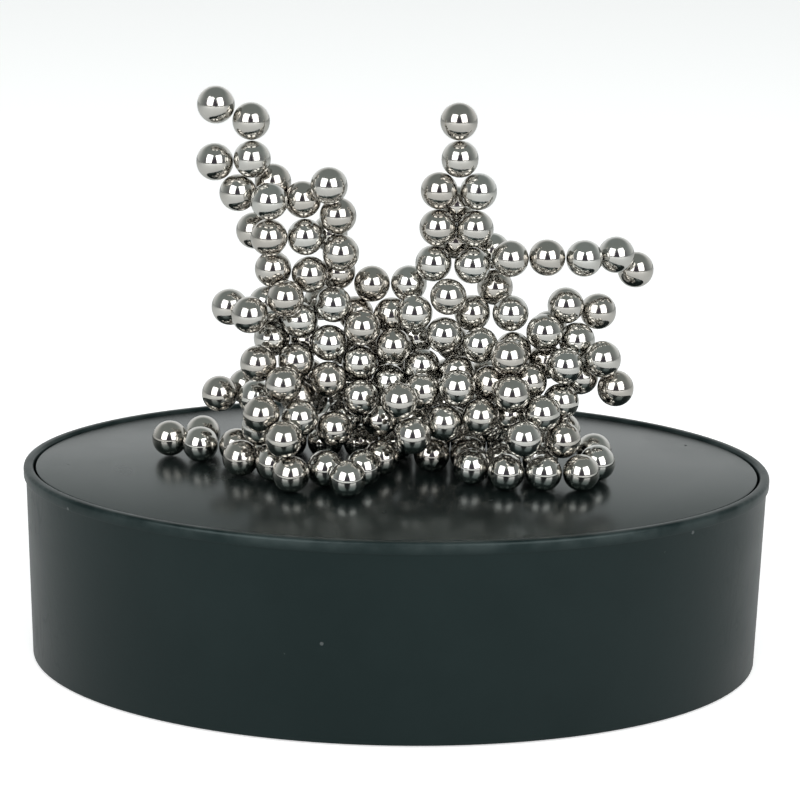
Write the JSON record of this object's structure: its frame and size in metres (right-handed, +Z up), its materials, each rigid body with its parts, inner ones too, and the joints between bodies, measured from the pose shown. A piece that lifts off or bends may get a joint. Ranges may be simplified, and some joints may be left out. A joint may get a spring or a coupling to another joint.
{
  "type": "magnetic desk sculpture",
  "caption": "Oval magnetic base with a satin black plate, on which a heap of loose bright metal balls clings in towers, arms and ledges that come apart by hand.",
  "frame": {"origin": "on the table under the middle of the base", "axes": "+Z up, +X along the oval base, +Y to its rear"},
  "size_m": [0.099, 0.0594, 0.0768],
  "materials": {
    "casing_black": "satin",
    "plate_black": "satin",
    "ferrite": "matt",
    "zinc_steel": "satin",
    "cover_black": "matt",
    "foot_rubber": "matt",
    "ball_nickel": "mirror"
  },
  "bodies": {
    "base": {"base_casing": "casing_black", "top_plate": "plate_black", "ferrite_magnet": "ferrite", "back_iron": "zinc_steel", "bottom_cover": "cover_black", "cover_screw_front_left": "zinc_steel", "cover_screw_front_right": "zinc_steel", "cover_screw_rear_left": "zinc_steel", "cover_screw_rear_right": "zinc_steel", "rubber_foot_front_left": "foot_rubber", "rubber_foot_front_right": "foot_rubber", "rubber_foot_rear_left": "foot_rubber", "rubber_foot_rear_right": "foot_rubber"},
    "heap": {"left_tower_root_chain": "ball_nickel", "spire_root_chain": "ball_nickel", "right_wing_chain": "ball_nickel", "right_shoulder_chain": "ball_nickel", "right_outer_chain": "ball_nickel", "right_flank_chain": "ball_nickel", "right_inner_chain": "ball_nickel", "centre_top_chain": "ball_nickel", "centre_middle_chain": "ball_nickel", "centre_front_chain": "ball_nickel", "front_row_chain": "ball_nickel", "right_step_chain": "ball_nickel", "plate_front_right_chain": "ball_nickel", "left_flank_upper_chain": "ball_nickel", "left_flank_middle_chain": "ball_nickel", "left_centre_chain": "ball_nickel", "left_lower_chain": "ball_nickel", "left_inner_chain": "ball_nickel", "left_step_chain": "ball_nickel", "left_ledge_chain": "ball_nickel", "plate_left_chain": "ball_nickel", "plate_front_left_chain": "ball_nickel", "plate_front_chain": "ball_nickel", "plate_middle_chain": "ball_nickel", "plate_rear_chain": "ball_nickel", "plate_back_chain": "ball_nickel", "second_layer_middle_chain": "ball_nickel", "second_layer_rear_chain": "ball_nickel", "third_layer_rear_chain": "ball_nickel", "fourth_layer_rear_chain": "ball_nickel", "upper_rear_chain": "ball_nickel"},
    "left_tower": {"left_tower_neck_chain": "ball_nickel", "left_tower_shoulder_chain": "ball_nickel", "left_tower_inner_chain": "ball_nickel", "left_tower_waist_chain": "ball_nickel"},
    "left_tower_tip": {"left_tower_tip_ball": "ball_nickel"},
    "left_tower_side": {"left_tower_side_ball": "ball_nickel"},
    "left_tower_inner_tip": {"left_tower_inner_tip_ball": "ball_nickel"},
    "spire": {"spire_upper_chain": "ball_nickel", "spire_waist_chain": "ball_nickel"},
    "spire_tip": {"spire_tip_ball": "ball_nickel"},
    "right_arm": {"right_arm_chain": "ball_nickel"},
    "right_arm_tip": {"right_arm_tip_ball": "ball_nickel"},
    "right_outer": {"right_outer_ball": "ball_nickel"},
    "left_flank_tip": {"left_flank_tip_ball": "ball_nickel"},
    "front_overhang": {"front_overhang_ball": "ball_nickel"},
    "plate_lone": {"plate_lone_ball": "ball_nickel"}
  },
  "joints": [
    {"name": "heap_lift", "type": "slide", "parent": "base", "child": "heap", "axis": [0, 0, 1], "range_m": [0, 0.04]},
    {"name": "left_tower_lift", "type": "slide", "parent": "heap", "child": "left_tower", "axis": [-0.2425, 0, 0.9701], "range_m": [0, 0.03]},
    {"name": "left_tower_tip_pull", "type": "slide", "parent": "left_tower", "child": "left_tower_tip", "axis": [-0.2425, 0, 0.9701], "range_m": [0, 0.025]},
    {"name": "left_tower_side_pull", "type": "slide", "parent": "left_tower", "child": "left_tower_side", "axis": [-1, 0, 0], "range_m": [0, 0.025]},
    {"name": "left_tower_inner_tip_pull", "type": "slide", "parent": "left_tower", "child": "left_tower_inner_tip", "axis": [0, -0.2425, 0.9701], "range_m": [0, 0.025]},
    {"name": "spire_lift", "type": "slide", "parent": "heap", "child": "spire", "axis": [-0.2425, 0, 0.9701], "range_m": [0, 0.03]},
    {"name": "spire_tip_pull", "type": "slide", "parent": "spire", "child": "spire_tip", "axis": [0, 0, 1], "range_m": [0, 0.025]},
    {"name": "right_arm_lift", "type": "slide", "parent": "heap", "child": "right_arm", "axis": [0.2357, -0.2357, 0.9428], "range_m": [0, 0.03]},
    {"name": "right_arm_tip_pull", "type": "slide", "parent": "right_arm", "child": "right_arm_tip", "axis": [0.4472, 0, 0.8944], "range_m": [0, 0.025]},
    {"name": "right_outer_pull", "type": "slide", "parent": "heap", "child": "right_outer", "axis": [0.8, 0, 0.6], "range_m": [0, 0.025]},
    {"name": "left_flank_tip_pull", "type": "slide", "parent": "heap", "child": "left_flank_tip", "axis": [-0.5547, 0, 0.8321], "range_m": [0, 0.025]},
    {"name": "front_overhang_pull", "type": "slide", "parent": "heap", "child": "front_overhang", "axis": [0.2357, -0.9428, 0.2357], "range_m": [0, 0.025]},
    {"name": "plate_lone_slide", "type": "slide", "parent": "base", "child": "plate_lone", "axis": [-1, 0, 0], "range_m": [0, 0.012]}
  ]
}
